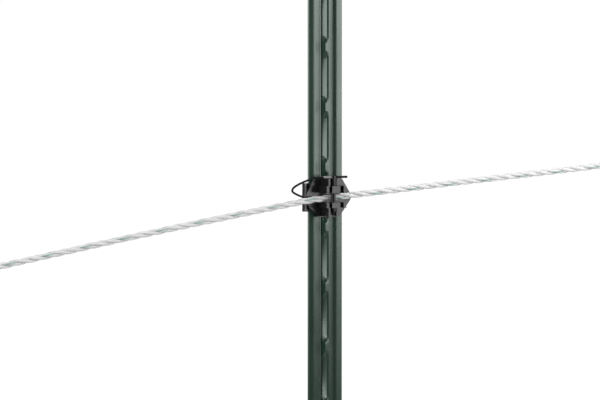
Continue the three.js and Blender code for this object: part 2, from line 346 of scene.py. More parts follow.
    @staticmethod
    def meshed(points: Sequence[Vector], faces: Sequence[tuple[int, ...]]) -> bpy.types.Object:
        """Add a piece made of points, in metres, and faces.

        Args:
            points: Its vertices.
            faces: The vertices of each face.

        Returns:
            The piece.
        """
        mesh = bpy.data.meshes.new("swept")
        mesh.from_pydata([tuple(point) for point in points], [], faces)
        piece = bpy.data.objects.new("swept", mesh)
        bpy.context.scene.collection.objects.link(piece)
        return piece

    @staticmethod
    def tube(line: Sequence[Vector], radii: Sequence[float], sides: int) -> bpy.types.Object:
        """Sweep a closed round tube along a line.

        Args:
            line: Its centreline, in metres.
            radii: Its radius at each point, in millimetres.
            sides: Corners of its section.

        Returns:
            The tube, smooth shaded.
        """
        points = []
        across = Vector((0, 1, 0))
        for i, at in enumerate(line):
            ahead = heading(line, i)
            across = (across - ahead * across.dot(ahead)).normalized()
            up = ahead.cross(across)
            for k in range(sides):
                angle = 2 * math.pi * k / sides
                points.append(at + (across * math.cos(angle) + up * math.sin(angle)) * radii[i] * MM)
        piece = Bench.meshed(points, sweep_faces(0, len(line), sides))
        with Bench.editing(piece):
            Bench.face_outwards()
        Bench.smooth(piece, 40)
        return piece

    @staticmethod
    def soften(piece: bpy.types.Object, width: float, segments: int = 2, angle: float = 28) -> None:
        """Round every edge sharper than an angle, and shade the piece smooth between edges.

        Args:
            piece: The piece to soften.
            width: Width of the rounding in millimetres.
            segments: Steps across the rounding.
            angle: Smallest angle between faces that is rounded, in degrees.
        """
        with Bench.editing(piece):
            bpy.ops.mesh.dissolve_limited(angle_limit=math.radians(0.5))
        Bench.modify(
            piece, "BEVEL", width=width * MM, segments=segments, limit_method="ANGLE",
            angle_limit=math.radians(angle), use_clamp_overlap=True,
        )
        with Bench.editing(piece):
            Bench.face_outwards()
        Bench.smooth(piece, 32)
        Bench.modify(piece, "WEIGHTED_NORMAL", keep_sharp=True)

    @staticmethod
    def finish(piece: bpy.types.Object, name: str, slot: Slot, material: bpy.types.Material,
               nodes: Sequence[str], body: str | None = POST_BODY) -> bpy.types.Object:
        """Name and dress a piece, and note its slot, the nodes it stands for and its body.

        Args:
            piece: The finished mesh object.
            name: Its name.
            slot: The record's slot that it takes its finish from.
            material: Its material.
            nodes: The frame's nodes that it replaces.
            body: The body that it rides on, or None to attach it to no body.

        Returns:
            The piece.
        """
        piece.name = name
        piece.data.name = name
        piece.data.materials.clear()
        piece.data.materials.append(material)
        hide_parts(*nodes)
        if body:
            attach(piece, body)
        log.info("%s: %d faces, slot %s", name, len(piece.data.polygons), slot.value)
        return piece


# ------------------------------------------------------------------ materials


class Nodes:
    """A shader node tree, with short ways to add and feed its nodes."""

    def __init__(self, tree: bpy.types.NodeTree) -> None:
        """Hold the tree."""
        self.tree = tree

    def feed(self, node: bpy.types.Node, inputs: dict[str | int, object]) -> None:
        """Set a node's inputs to values, or join them to sockets.

        Args:
            node: The node to feed.
            inputs: A value or an output socket for each input.
        """
        for key, value in inputs.items():
            if isinstance(value, bpy.types.NodeSocket):
                self.tree.links.new(value, node.inputs[key])
            else:
                node.inputs[key].default_value = value

    def add(self, kind: str, inputs: dict[str | int, object], **settings: object) -> bpy.types.Node:
        """Add a node, set some of its properties and feed its inputs.

        Args:
            kind: Its type, without "ShaderNode".
            inputs: Values or sockets for its inputs.
            settings: Its properties.

        Returns:
            The node.
        """
        made = self.tree.nodes.new(f"ShaderNode{kind}")
        for key, value in settings.items():
            setattr(made, key, value)
        self.feed(made, inputs)
        return made

    def noise(self, place: bpy.types.NodeSocket, scale: object, detail: float) -> bpy.types.NodeSocket:
        """Add a noise texture on coordinates."""
        return self.add("TexNoise", {"Vector": place, "Scale": scale, "Detail": detail}).outputs["Fac"]

    def spread(self, value: bpy.types.NodeSocket, low: object, high: object) -> bpy.types.NodeSocket:
        """Map the middle of a noise's values onto a range."""
        inputs = {"Value": value, "From Min": 0.3, "From Max": 0.7, "To Min": low, "To Max": high}
        return self.add("MapRange", inputs).outputs["Result"]

    def math(self, operation: str, *values: object) -> bpy.types.NodeSocket:
        """Add a sum on values or sockets."""
        return self.add("Math", dict(enumerate(values)), operation=operation).outputs[0]

    def mix(self, factor: bpy.types.NodeSocket, a: object, b: object) -> bpy.types.NodeSocket:
        """Mix two colours."""
        return self.add("Mix", {"Factor": factor, "A": a, "B": b}, data_type="RGBA").outputs["Result"]


def new_material(name: str) -> tuple[bpy.types.Material, Nodes, bpy.types.Node]:
    """Add a material, and give it with its nodes and its surface shader.

    Args:
        name: Its name.

    Returns:
        The material, its node tree and its shader.
    """
    made = bpy.data.materials.new(name)
    made.use_nodes = True
    return made, Nodes(made.node_tree), made.node_tree.nodes["Principled BSDF"]


def build_grain_group() -> bpy.types.NodeTree:
    """Build the group that gives a coated or moulded surface its uneven colour, gloss and skin.

    Returns:
        The group. Color is the mottled colour, Roughness the uneven gloss, and Height a skin in
        metres made of fine grain and of long lines along Z.
    """
    tree = bpy.data.node_groups.new("surface_grain", "ShaderNodeTree")
    inputs = {
        "Color A": (0.1, 0.1, 0.1, 1), "Color B": (0.2, 0.2, 0.2, 1), "Gloss Low": 0.3, "Gloss High": 0.4,
        "Grain Scale": 900.0, "Grain Depth": 0.00001, "Line Depth": 0.0,
    }
    for key, default in inputs.items():
        kind = "NodeSocketFloat" if isinstance(default, float) else "NodeSocketColor"
        tree.interface.new_socket(name=key, in_out="INPUT", socket_type=kind).default_value = default
    for key, kind in (("Color", "Color"), ("Roughness", "Float"), ("Height", "Float")):
        tree.interface.new_socket(name=key, in_out="OUTPUT", socket_type=f"NodeSocket{kind}")
    given = tree.nodes.new("NodeGroupInput").outputs
    nodes = Nodes(tree)
    place = nodes.add("TexCoord", {}).outputs["Object"]
    share = nodes.spread(nodes.noise(place, 45, 4), 0.0, 1.0)
    grain = nodes.math("MULTIPLY", nodes.noise(place, given["Grain Scale"], 2), given["Grain Depth"])
    stretched = nodes.add("Mapping", {"Vector": place, "Scale": (1, 1, 0.02)}).outputs["Vector"]
    results = {
        "Color": nodes.mix(share, given["Color A"], given["Color B"]),
        "Roughness": nodes.spread(nodes.noise(place, 14, 2), given["Gloss Low"], given["Gloss High"]),
        "Height": nodes.math("MULTIPLY_ADD", nodes.noise(stretched, 520, 3), given["Line Depth"], grain),
    }
    nodes.feed(tree.nodes.new("NodeGroupOutput"), results)
    return tree


GRAIN = build_grain_group()


@dataclass(frozen=True)
class CoatedFinish:
    """A painted, plated or moulded finish with uneven colour and gloss."""

    name: str
    color_a: Sequence[float]
    color_b: Sequence[float]
    gloss: tuple[float, float]
    grain_scale: float
    grain_depth: float
    line_depth: float = 0.0
    metallic: float = 0.0
    specular: float = 0.5
    specular_tint: Sequence[float] = (1.0, 1.0, 1.0)

    def material(self) -> bpy.types.Material:
        """Build the finish's material."""
        made, nodes, shader = new_material(self.name)
        inputs = {
            "Color A": (*self.color_a, 1), "Color B": (*self.color_b, 1),
            "Gloss Low": self.gloss[0], "Gloss High": self.gloss[1],
            "Grain Scale": self.grain_scale, "Grain Depth": self.grain_depth, "Line Depth": self.line_depth,
        }
        grain = nodes.add("Group", inputs, node_tree=GRAIN).outputs
        skin = nodes.add("Bump", {"Distance": 1.0, "Height": grain["Height"]})
        nodes.feed(shader, {
            "Base Color": grain["Color"], "Roughness": grain["Roughness"], "Normal": skin.outputs["Normal"],
            "Metallic": self.metallic, "Specular IOR Level": self.specular,
            "Specular Tint": (*self.specular_tint, 1),
        })
        return made


@dataclass(frozen=True)
class RopeFinish:
    """White twisted filaments with coloured tracers and steel conductors, with painted shade in the grooves
    between filaments.
    """

    name: str = "polyrope_filaments"
    white: Sequence[float] = (0.90, 0.905, 0.90, 1)
    # shade: painted shade for the grooves between filaments, darker than the white of the filaments
    shade: Sequence[float] = (0.86, 0.87, 0.865, 1)
    tracer: Sequence[float] = (0.40, 0.54, 0.50, 1)
    steel: Sequence[float] = (0.42, 0.43, 0.44, 1)
    filaments: float = 26
    ridge: float = 0.00007

    def material(self) -> bpy.types.Material:
        """Build the rope's material: UV u runs round a strand, and v along it."""
        made, nodes, shader = new_material(self.name)
        uv = nodes.add("UVMap", {}, uv_map="strand").outputs["UV"]
        wave = nodes.add("TexWave", {
            "Vector": uv, "Scale": self.filaments * 0.314,
            "Distortion": 1.2, "Detail": 1.5, "Detail Scale": 1.5,
        }, bands_direction="X").outputs["Fac"]
        tracer = nodes.add("Attribute", {}, attribute_name="tracer").outputs["Fac"]
        steel = nodes.add("Attribute", {}, attribute_name="steel").outputs["Fac"]
        # the filament wave paints shade into the grooves that the bump sinks, and white on the filament
        # ridges
        color = nodes.mix(tracer, nodes.mix(wave, self.shade, self.white), self.tracer)
        ridges = nodes.add("Bump", {"Distance": self.ridge, "Height": wave})
        nodes.feed(shader, {
            "Base Color": nodes.mix(steel, color, self.steel), "Metallic": steel,
            "Normal": ridges.outputs["Normal"], "Roughness": 0.6, "Specular IOR Level": 0.2,
            "Subsurface Weight": 0.7, "Subsurface Radius": (1.0, 1.0, 1.0), "Subsurface Scale": 0.003,
        })
        return made


PAINT = CoatedFinish(
    name="green_post_paint", color_a=(0.008, 0.029, 0.017), color_b=(0.012, 0.037, 0.023),
    gloss=(0.24, 0.34), grain_scale=700, grain_depth=0.000012, line_depth=0.00003,
    specular=0.8, specular_tint=(0.90, 1.0, 0.96),
)
PLASTIC = CoatedFinish(
    name="black_moulding", color_a=(0.006, 0.006, 0.006), color_b=(0.010, 0.010, 0.010),
    gloss=(0.24, 0.34), grain_scale=1500, grain_depth=0.00001, specular=0.8,
)
PIN_PLASTIC = CoatedFinish(
    name="black_pin_moulding", color_a=(0.005, 0.005, 0.005), color_b=(0.008, 0.008, 0.008),
    gloss=(0.22, 0.30), grain_scale=1500, grain_depth=0.000005, specular=0.3,
)
STRAP_PLASTIC = CoatedFinish(
    name="black_strap_moulding", color_a=(0.005, 0.005, 0.005), color_b=(0.008, 0.008, 0.008),
    gloss=(0.3, 0.4), grain_scale=1500, grain_depth=0.000005, specular=0.2,
)
ZINC = CoatedFinish(
    name="zinc_plating", color_a=(0.52, 0.53, 0.54), color_b=(0.64, 0.65, 0.67),
    gloss=(0.24, 0.42), grain_scale=600, grain_depth=0.000008, metallic=1.0,
)


# ------------------------------------------------------------------ rope


def smooth_line(points: Sequence[Vector], step: float) -> list[Vector]:
    """Run a smooth curve through points, centripetal so that it doesn't overshoot.

    Args:
        points: The route's points, in metres.
        step: The longest spacing of the result, in metres.

    Returns:
        Points along the curve, from the first route point to the last.
    """
    padded = [points[0] * 2 - points[1], *points, points[-1] * 2 - points[-2]]
    line = [points[0].copy()]
    for p0, p1, p2, p3 in zip(padded, padded[1:], padded[2:], padded[3:]):
        d0, d1, d2 = ((b - a).length ** 0.5 for a, b in ((p0, p1), (p1, p2), (p2, p3)))
        m1 = ((p1 - p0) / d0 - (p2 - p0) / (d0 + d1) + (p2 - p1) / d1) * d1
        m2 = ((p2 - p1) / d1 - (p3 - p1) / (d1 + d2) + (p3 - p2) / d2) * d1
        count = max(1, math.ceil((p2 - p1).length / step))
        for i in range(1, count + 1):
            t = i / count
            line.append(
                p1 * (2 * t**3 - 3 * t**2 + 1) + m1 * (t**3 - 2 * t**2 + t)
                + p2 * (3 * t**2 - 2 * t**3) + m2 * (t**3 - t**2)
            )
    return line


def even(line: Sequence[Vector], step: float) -> list[Vector]:
    """Space points evenly along a line, keeping both ends.

    Args:
        line: The points to respace.
        step: The spacing wanted, in the same unit.

    Returns:
        The even points.
    """
    lengths = distances(line)
    count = max(2, round(lengths[-1] / step))
    made, i = [], 0
    for k in range(count + 1):
        at = lengths[-1] * k / count
        while i < len(line) - 2 and lengths[i + 1] < at:
            i += 1
        share = (at - lengths[i]) / (lengths[i + 1] - lengths[i])
        made.append(line[i].lerp(line[i + 1], min(1.0, share)))
    return made


# The rope's line on each side of the pin, out to its clamp: x, and height over the insulator.
ROPE_LINE: dict[End, list[Point2]] = {
    End.RIGHT: [
        (0, -0.1), (15, 1.1), (26, 1.9), (72, 5.5), (125, 9.8), (177, 13.8), (231, 17.9), (284, 22.1),
        (302, 23.5),
    ],
    End.LEFT: [
        (0, -0.1), (-20, -1.8), (-42, -5.0), (-82, -11.1), (-133, -19.0), (-183, -27.0), (-233, -35.2),
        (-282, -43.5), (-331, -51.9), (-347, -54.6),
    ],
}

# The eye at a rope end: distance past the clamp's inner edge, and offset across the line.
EYE: list[Point2] = [
    (12, 0), (22, 0), (28, -1.0), (35, -3.8), (44, -7.4), (54, -8.8), (63, -5.4), (67, 3.3), (63, 12.0),
    (54, 15.4), (44, 14.0), (35, 10.4), (28, 7.6), (22, 6.6), (12, 6.6), (1.5, 6.6),
]


@dataclass
class TwistedRope:
    """One side of the rope: three strands of lobed filaments laid round each other."""

    end: End
    material: bpy.types.Material
    diameter: float = 6.0
    strand_radius: float = 1.6
    lay: float = 38.2
    phase: float = 0.0
    lobes: int = 8
    lobe_depth: float = 0.05
    tracer_lobes: float = 1.5
    steel_strand: int = 2
    steel_lobe: Point2 = (3.35, 3.65)
    uv_per_metre: float = 40
    sides: int = 40
    step: float = 1.7
    depth_y: float = -8.9
    insulator_z: float = 843.0
    on_it: list[bpy.types.Object] = field(default_factory=list)

    def end_frame(self) -> Matrix:
        """The clamp's frame: x along the rope line outwards, z across it, at its inner edge."""
        (x0, z0), (x1, z1) = ROPE_LINE[self.end][-2:]
        angle = math.atan2(z1 - z0, x1 - x0)
        place = Matrix.Translation((x1 * MM, self.depth_y * MM, (z1 + self.insulator_z) * MM))
        return place @ Matrix.Rotation(-angle, 4, "Y")

    def route(self) -> list[Vector]:
        """The rope's centreline, in metres, from the pin through the eye and back into the clamp."""
        line = [
            Vector((x * MM, self.depth_y * MM, (z + self.insulator_z) * MM))
            for x, z in ROPE_LINE[self.end]
        ]
        place = self.end_frame()
        line += [place @ Vector((u * MM, 0, v * MM)) for u, v in EYE]
        return even(smooth_line(line, 0.5 * MM), self.step * MM)

    def strand_mesh(self, line: Sequence[Vector]) -> bpy.types.Object:
        """Sweep the three strands along the line, with their UV map and marked filaments.

        Args:
            line: Even points of the centreline.

        Returns:
            One mesh object with a "strand" UV map and the point attributes tracer and steel.
        """
        way = 1 if self.end is End.RIGHT else -1
        coloured = 1 if self.end is End.RIGHT else 0
        offset = (self.diameter / 2 - self.strand_radius) * MM
        radius = self.strand_radius * MM
        points, faces, uvs, tracer, steel = [], [], [], [], []
        travelled = distances(line)
        side = Vector((0, 1, 0))
        lean = 2 * math.pi * offset / (self.lay * MM)
        for strand in range(3):
            faces += sweep_faces(len(points), len(line), self.sides)
            for i, at in enumerate(line):
                ahead = heading(line, i)
                up = ahead.cross(side).normalized()
                turn = self.phase + 2 * math.pi * (strand / 3 + way * travelled[i] / (self.lay * MM))
                out = side * math.cos(turn) + up * (math.sin(turn) * way)
                centre = at + out * offset
                strand_ahead = (ahead + ahead.cross(out) * lean).normalized()
                over = strand_ahead.cross(out).normalized()
                spin = 2.0 * way * (turn - self.phase)
                for k in range(self.sides):
                    angle = 2 * math.pi * k / self.sides
                    lobe = 1 - self.lobe_depth * (0.5 - 0.5 * math.cos(self.lobes * (angle + spin)))
                    points.append(centre + (out * math.cos(angle) + over * math.sin(angle)) * radius * lobe)
                    filament = (self.lobes * (angle + spin) / (2 * math.pi)) % self.lobes
                    low, high = self.steel_lobe
                    tracer.append(float(strand == coloured and filament < self.tracer_lobes))
                    steel.append(float(strand == self.steel_strand and low < filament < high))
            for v0, v1 in zip(travelled, travelled[1:]):
                v0, v1 = v0 * self.uv_per_metre, v1 * self.uv_per_metre
                for k in range(self.sides):
                    u0, u1 = k / self.sides, (k + 1) / self.sides
                    uvs += [(u0, v0), (u1, v0), (u1, v1), (u0, v1)]
            uvs += [(0.5, 0.0)] * (2 * self.sides)
        piece = Bench.meshed(points, faces)
        mesh = piece.data
        layer = mesh.uv_layers.new(name="strand")
        layer.data.foreach_set("uv", [value for uv in uvs for value in uv])
        for name, values in (("tracer", tracer), ("steel", steel)):
            mesh.attributes.new(name, "FLOAT", "POINT").data.foreach_set("value", values)
        with Bench.editing(piece):
            bpy.ops.mesh.normals_make_consistent(inside=False)
        bpy.ops.object.shade_smooth()
        return piece

    def build(self) -> bpy.types.Object:
        line = self.route()
        side = self.end.value
        piece = Bench.finish(
            self.strand_mesh(line), f"twisted_rope_{side}", Slot.ROPE, self.material,
            [f"rope_{side}", f"rope_eye_{side}"],
        )
        length = distances(line)[-1]
        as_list(self.on_it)
        log.info("%s: %.3f m long", piece.name, length)
        return piece


# ------------------------------------------------------------------ post

RIVET_X = 8.6
RIVET_Z = 262.0
RIVET_HOLE = 3.3


def rivet_holes(front: float, back: float) -> list[bpy.types.Object]:
    """Add the two bars that cut the rivets' holes."""
    return [Bench.bar(RIVET_HOLE, (front, back), (x, 0, RIVET_Z), "Y") for x in (-RIVET_X, RIVET_X)]


@dataclass
class StudPost:
    """The rolled T-post: one pitch of the section with a stud, repeated up the post."""

    material: bpy.types.Material
    length: float = 1219.0
    pitch: float = 54.0
    first_stud: float = 60.0
    studs: int = 22
    bare: tuple[int, int] = (3, 5)

    # The rib on the front face: x, its front, and the front of a stud there.
    rib: tuple[Point3, ...] = (
        (-4.75, 1.35, 1.35), (-4.4, 1.25, 0.5), (-4.0, 1.1, -1.4), (-3.65, 0.98, -3.2), (-3.4, 0.75, -4.3),
        (-2.9, -0.05, -4.5), (-2.0, -1.55, -4.38), (-1.1, -3.05, -4.26), (-0.92, -3.28, -4.23),
        (-0.6, -3.4, -4.19), (0.3, -3.67, -4.07), (0.7, -3.78, -4.0), (0.95, -3.6, -3.75),
        (1.2, -3.2, -3.3), (3.1, 0.55, 0.5), (3.6, 1.05, 1.0),
    )

    # Each half of the section from the rib to the stem: x, y and the corner's radius.
    half_right: tuple[Point3, ...] = (
        (4.6, 1.2, 0.5), (8.0, 1.08, 1.2),
        (11.1, 0.0, 1.8), (16.9, 1.2, 0.5), (17.5, 1.8, 0.3), (17.5, 2.5, 0.3), (16.9, 2.95, 0.4),
        (5.2, 3.05, 1.6), (1.9, 5.4, 2.2), (1.2, 27.9, 0.3), (0.6, 28.5, 0.2),
    )
    half_left: tuple[Point3, ...] = (
        (5.3, -0.1, 0.12), (5.95, 0.72, 0.15), (8.8, 0.66, 1.2),
        (12.0, 0.0, 1.6), (16.6, 1.05, 0.3), (17.5, 2.2, 0.2), (17.5, 2.5, 0.1), (16.9, 2.95, 0.4),
        (5.2, 3.05, 1.6), (1.9, 5.4, 2.2), (1.2, 27.9, 0.3), (0.6, 28.5, 0.2),
    )

    # Height from a stud's middle, and the share of the stud's full height that is reached there.
    stud_levels: tuple[Point2, ...] = (
        (10.3, 0.0), (9.7, 0.08), (8.9, 0.22), (8.0, 0.36), (7.0, 0.52), (6.0, 0.67), (5.0, 0.81),
        (4.1, 0.94), (3.6, 0.99), (3.1, 1.0), (0.0, 1.0),
    )

    def outline(self) -> list[Point2]:
        """The section's outline with its rib and rounded corners."""
        left = [(-x, y, r) for x, y, r in reversed(self.half_left)]
        rib = [(x, y, 0) for x, y, _ in self.rib]
        return round_corners([*rib, *self.half_right, *left], 3)

    def pitch_piece(self, studded: bool) -> bpy.types.Object:
        """Extrude one pitch of the section from z 0, open at both ends, with a stud if it has one.

        Args:
            studded: Whether it has a stud.

        Returns:
            The piece.
        """
        piece = Bench.outline([(x, y, 0) for x, y in self.outline()], "NOTHING")
        middle = self.pitch / 2
        heights = [middle - t for t, _ in self.stud_levels]
        heights += [middle + t for t, _ in reversed(self.stud_levels[:-1])]
        levels = [*heights, self.pitch] if studded else [self.pitch]
        with Bench.editing(piece):
            for low, high in zip([0.0, *levels], levels):
                move = {"value": (0, 0, (high - low) * MM)}
                bpy.ops.mesh.extrude_edges_move(TRANSFORM_OT_translate=move)
        if studded:
            self.raise_stud(piece)
        return piece

    def raise_stud(self, piece: bpy.types.Object) -> None:
        """Move the rib forwards level by level to form the stud.

        Args:
            piece: One pitch of the section.
        """
        middle = self.pitch / 2
        for t, share in self.stud_levels:
            for x, y, top in self.rib:
                if share == 0 or top >= y:
                    continue

                def picked(co: Vector, x: float = x, y: float = y, t: float = t) -> bool:
                    here = abs(co.x / MM - x) < 0.01 and abs(co.y / MM - y) < 0.01
                    return here and abs(abs(co.z / MM - middle) - t) < 0.01

                Bench.push(piece, picked, (0, (top - y) * share, 0))

    def run(self, piece: bpy.types.Object, count: int, start: float) -> bpy.types.Object:
        """Copy a pitch piece, repeat it upwards and lift it to its place.

        Args:
            piece: One pitch of the section.
            count: How many there are.
            start: Height of the lowest, in millimetres.

        Returns:
            The repeated piece.
        """
        made = Bench.copy(piece)
        Bench.modify(
            made, "ARRAY", count=count, use_relative_offset=False, use_constant_offset=True,
            constant_offset_displace=(0, 0, self.pitch * MM), use_merge_vertices=True, merge_threshold=1e-5,
        )
        made.data.transform(Matrix.Translation((0, 0, start * MM)))
        return made

    def build(self) -> bpy.types.Object:
        """Build the post rail."""
        studded, plain = self.pitch_piece(True), self.pitch_piece(False)
        foot = self.first_stud - self.pitch / 2
        first, last = self.bare
        runs = [
            self.run(plain, 1, foot - self.pitch),
            self.run(studded, first, foot),
            self.run(plain, last - first, foot + first * self.pitch),
            self.run(studded, self.studs - last, foot + last * self.pitch),
        ]
        for used in (studded, plain):
            bpy.data.objects.remove(used, do_unlink=True)
        bpy.ops.object.select_all(action="DESELECT")
        for part in runs:
            part.select_set(True)
        bpy.context.view_layer.objects.active = runs[0]
        bpy.ops.object.join()
        rail = bpy.context.active_object
        with Bench.editing(rail):
            bpy.ops.mesh.remove_doubles(threshold=1e-5)
            for height, way in ((0.0, -1), (self.length, 1)):
                bpy.ops.mesh.select_all(action="SELECT")
                bpy.ops.mesh.bisect(
                    plane_co=(0, 0, height * MM), plane_no=(0, 0, way), use_fill=True, clear_outer=True,
                )
            Bench.face_outwards()
        Bench.combine(rail, rivet_holes(-6, 8), "DIFFERENCE")
        Bench.smooth(rail, 24)
        return Bench.finish(rail, "t_post_rail", Slot.PAINT, self.material, ["post_rail"])


@dataclass
class Anchor:
    """The anchor plate and the two rivets that hold it."""

    material: bpy.types.Material
    top: float = 312.0
    shoulder: float = 262.0
    bottom: float = 185.0
    half_width: float = 47.0
    half_foot: float = 24.0
    corner: float = 7.0
    back: float = -2.5
    thickness: float = 2.6
    head: float = 5.2
    shank: float = 3.0
    tail_face: float = 3.4

    def plate(self) -> bpy.types.Object:
        """Build the plate with its two holes."""
        right = [
            (self.half_foot, self.bottom), (self.half_width, self.shoulder), (self.half_width, self.top),
        ]
        corners = [(x, z, self.corner) for x, z in right]
        corners += [(-x, z, self.corner) for x, z in reversed(right)]
        points = [(x, self.back, z) for x, z in round_corners(corners, 8)]
        plate = Bench.drawn(points, (0, -self.thickness, 0))
        Bench.combine(plate, rivet_holes(-9, 3), "DIFFERENCE")
        Bench.soften(plate, 0.5, 3)
        return Bench.finish(plate, "ground_anchor_plate", Slot.PAINT, self.material, ["anchor_plate"])

    def rivets(self) -> list[bpy.types.Object]:
        """Build one rivet and copy it to the other hole."""
        face = self.back - self.thickness - 0.3
        rise, tail = 2.6, 4.4
        shares = (0.98, 0.92, 0.8, 0.62, 0.4, 0.18)
        profile = [(self.head * math.sqrt(1 - s * s), face - rise * s) for s in shares]
        profile += [(self.head, face), (self.shank, face)]
        profile += [(self.shank, self.tail_face), (tail, self.tail_face)]
        profile += [(tail * math.sqrt(1 - s * s), self.tail_face + 2.1 * s) for s in reversed(shares)]
        made = []
        for side, x in (("left", -RIVET_X), ("right", RIVET_X)):
            if made:
                rivet = Bench.copy(made[0])
                rivet.data.transform(Matrix.Translation((2 * RIVET_X * MM, 0, 0)))
            else:
                rivet = Bench.turned(profile, (x, 0, RIVET_Z), "Y")
                Bench.smooth(rivet, 40)
            node = f"anchor_rivet_{side}"
            made.append(Bench.finish(rivet, f"{node}_formed", Slot.PAINT, self.material, [node]))
        return made


# ------------------------------------------------------------------ insulator


@dataclass
class Clip:
    """A side clip's sizes, as distances from the middle of the post."""

    side: int
    inner: float
    outer: float
    half_height: float
    front: float
    back: float


@dataclass
class PinLockInsulator:
    """The moulded insulator, its locking pin and the strap between them."""

    material: bpy.types.Material
    pin_material: bpy.types.Material
    strap_material: bpy.types.Material
    z: float = 843.0
    shield_front: float = -5.6
    shield_back: float = -3.0
    chamfer: float = 1.3
    chamfer_share: float = 0.925
    rib_half: float = 3.2
    clip_chamfer: float = 1.2
    lip_front: float = 3.1
    lip_reach: float = 12.0
    jaw_half: float = 10.05
    cheek: float = 2.6
    block: Point2 = (-4.4, 3.9)
    jaw_front: float = -19.6
    pocket_back: float = -13.2
    upper: Point2 = (4.4, 10.7)
    lower: Point2 = (-9.0, -4.2)
    gusset_top: float = 17.2
    gusset_bottom: float = -16.8
    gusset: Point2 = (6.1, 7.6)
    pin_x: float = -0.9
    pin_y: float = -14.6
    pin_radius: float = 2.4
    pin_hole: float = 2.7
    pin_tip: float = -15.4
    head_bottom: float = 17.5
    head_top: float = 19.7
    head: Point2 = (-11.3, 13.0)
    head_depth: float = 4.4
    strap_radius: float = 0.95
    clips: tuple[Clip, Clip] = (
        Clip(-1, 18.7, 21.2, 12.8, 0.2, 5.9),
        Clip(1, 18.1, 20.5, 5.2, 0.2, 5.4),
    )
    shield_corners: tuple[Point2, ...] = (
        (11.6, -17.6), (23.2, -2.2), (23.2, 2.2), (13.6, 17.6),
        (-14.4, 17.6), (-22.6, 2.4), (-22.3, -4.6), (-10.9, -17.6),
    )

    def box(self, x: Point2, y: Point2, z: Point2) -> bpy.types.Object:
        """Add a box by its ranges, with z from the insulator's middle."""
        return Bench.block((x[0], y[0], z[0] + self.z), (x[1], y[1], z[1] + self.z))

    def shield(self) -> bpy.types.Object:
        """Build the shield with its chamfered front edge."""
        corners = round_corners([(x, z, 1.6) for x, z in self.shield_corners], 3)
        back = [(x, self.shield_back, z + self.z) for x, z in corners]
        piece = Bench.drawn(back, (0, self.shield_front + self.chamfer - self.shield_back, 0))
        front = (self.shield_front + self.chamfer) * MM
        for face in piece.data.polygons:
            face.select = all(abs(piece.data.vertices[i].co.y - front) < 1e-6 for i in face.vertices)
        with Bench.editing(piece, None):
            bpy.ops.mesh.select_mode(type="FACE")
            bpy.ops.mesh.extrude_region_move(TRANSFORM_OT_translate={"value": (0, -self.chamfer * MM, 0)})
            size = (self.chamfer_share, 1, self.chamfer_share)
            bpy.ops.transform.resize(value=size, center_override=(0, 0, self.z * MM))
            bpy.ops.mesh.select_mode(type="VERT")
            Bench.face_outwards()
        return piece

    def clip(self, clip: Clip) -> list[bpy.types.Object]:
        """Build a side clip's bar, lip and rib.

        Args:
            clip: Its sizes.

        Returns:
            The three closed pieces.
        """

        def span(a: float, b: float) -> Point2:
            return (a, b) if clip.side > 0 else (-b, -a)

        height = (-clip.half_height, clip.half_height)
        rib = (self.shield_front + 1.2, clip.front + 0.6)
        bar = [
            (clip.outer, clip.back), (clip.outer, clip.front + self.clip_chamfer),
            (clip.outer - self.clip_chamfer, clip.front), (clip.inner, clip.front), (clip.inner, clip.back),
        ]
        points = [(clip.side * x, y, self.z - clip.half_height) for x, y in bar]
        return [
            Bench.drawn(points, (0, 0, 2 * clip.half_height)),
            self.box(span(self.lip_reach, clip.outer - 0.7), (self.lip_front, clip.back - 0.01), height),
            self.box(span(clip.inner - 1, clip.outer - 1.4), rib, (-self.rib_half, self.rib_half)),
        ]

    def jaw(self, z: Point2, gusset_end: float) -> bpy.types.Object:
        """Build one jaw between two heights, with gussets that end above or below it.

        Args:
            z: The jaw's lower and upper face.
            gusset_end: Where the gussets end.

        Returns:
            The jaw as one closed mesh.
        """
        root = self.shield_front + 0.6
        inside = self.jaw_half - self.cheek
        body = self.box((-self.jaw_half, self.jaw_half), (self.jaw_front, root), z)
        tall = (z[0] - 1, z[1] + 1)
        pockets = [
            self.box((-inside, self.block[0]), (self.jaw_front - 1, self.pocket_back), tall),
            self.box((self.block[1], inside), (self.jaw_front - 1, self.pocket_back), tall),
        ]
        Bench.combine(body, pockets, "DIFFERENCE")
        reach = (z[1] - 0.5, gusset_end) if gusset_end > 0 else (gusset_end, z[0] + 0.5)
        gussets = [
            self.box((-self.gusset[1], -self.gusset[0]), (self.jaw_front + 1, root), reach),
            self.box(self.gusset, (self.shield_front - 3, root), reach),
        ]
        return Bench.combine(body, gussets, "UNION")

    def build_body(self) -> bpy.types.Object:
        """Build the moulded body."""
        seat = self.shield_back - 0.6
        parts = [
            self.box((-13, -10), (seat, -0.3), (-14, 14)),
            self.box((10, 13), (seat, -0.3), (-14, 14)),
            self.box((-2.2, 2.2), (seat, -2.5), (-15.5, 15.5)),
            self.jaw(self.upper, self.gusset_top),
            self.jaw(self.lower, self.gusset_bottom),
        ]
        for clip in self.clips:
            parts += self.clip(clip)
        body = Bench.combine(self.shield(), parts, "UNION")
        place = (self.pin_x, self.pin_y, self.z)
        Bench.combine(body, [Bench.bar(self.pin_hole, (-30, 30), place, "Z")], "DIFFERENCE")
        Bench.soften(body, 0.32, 2)
        return Bench.finish(body, "insulator_moulding", Slot.PLASTIC, self.material, ["insulator_body"])

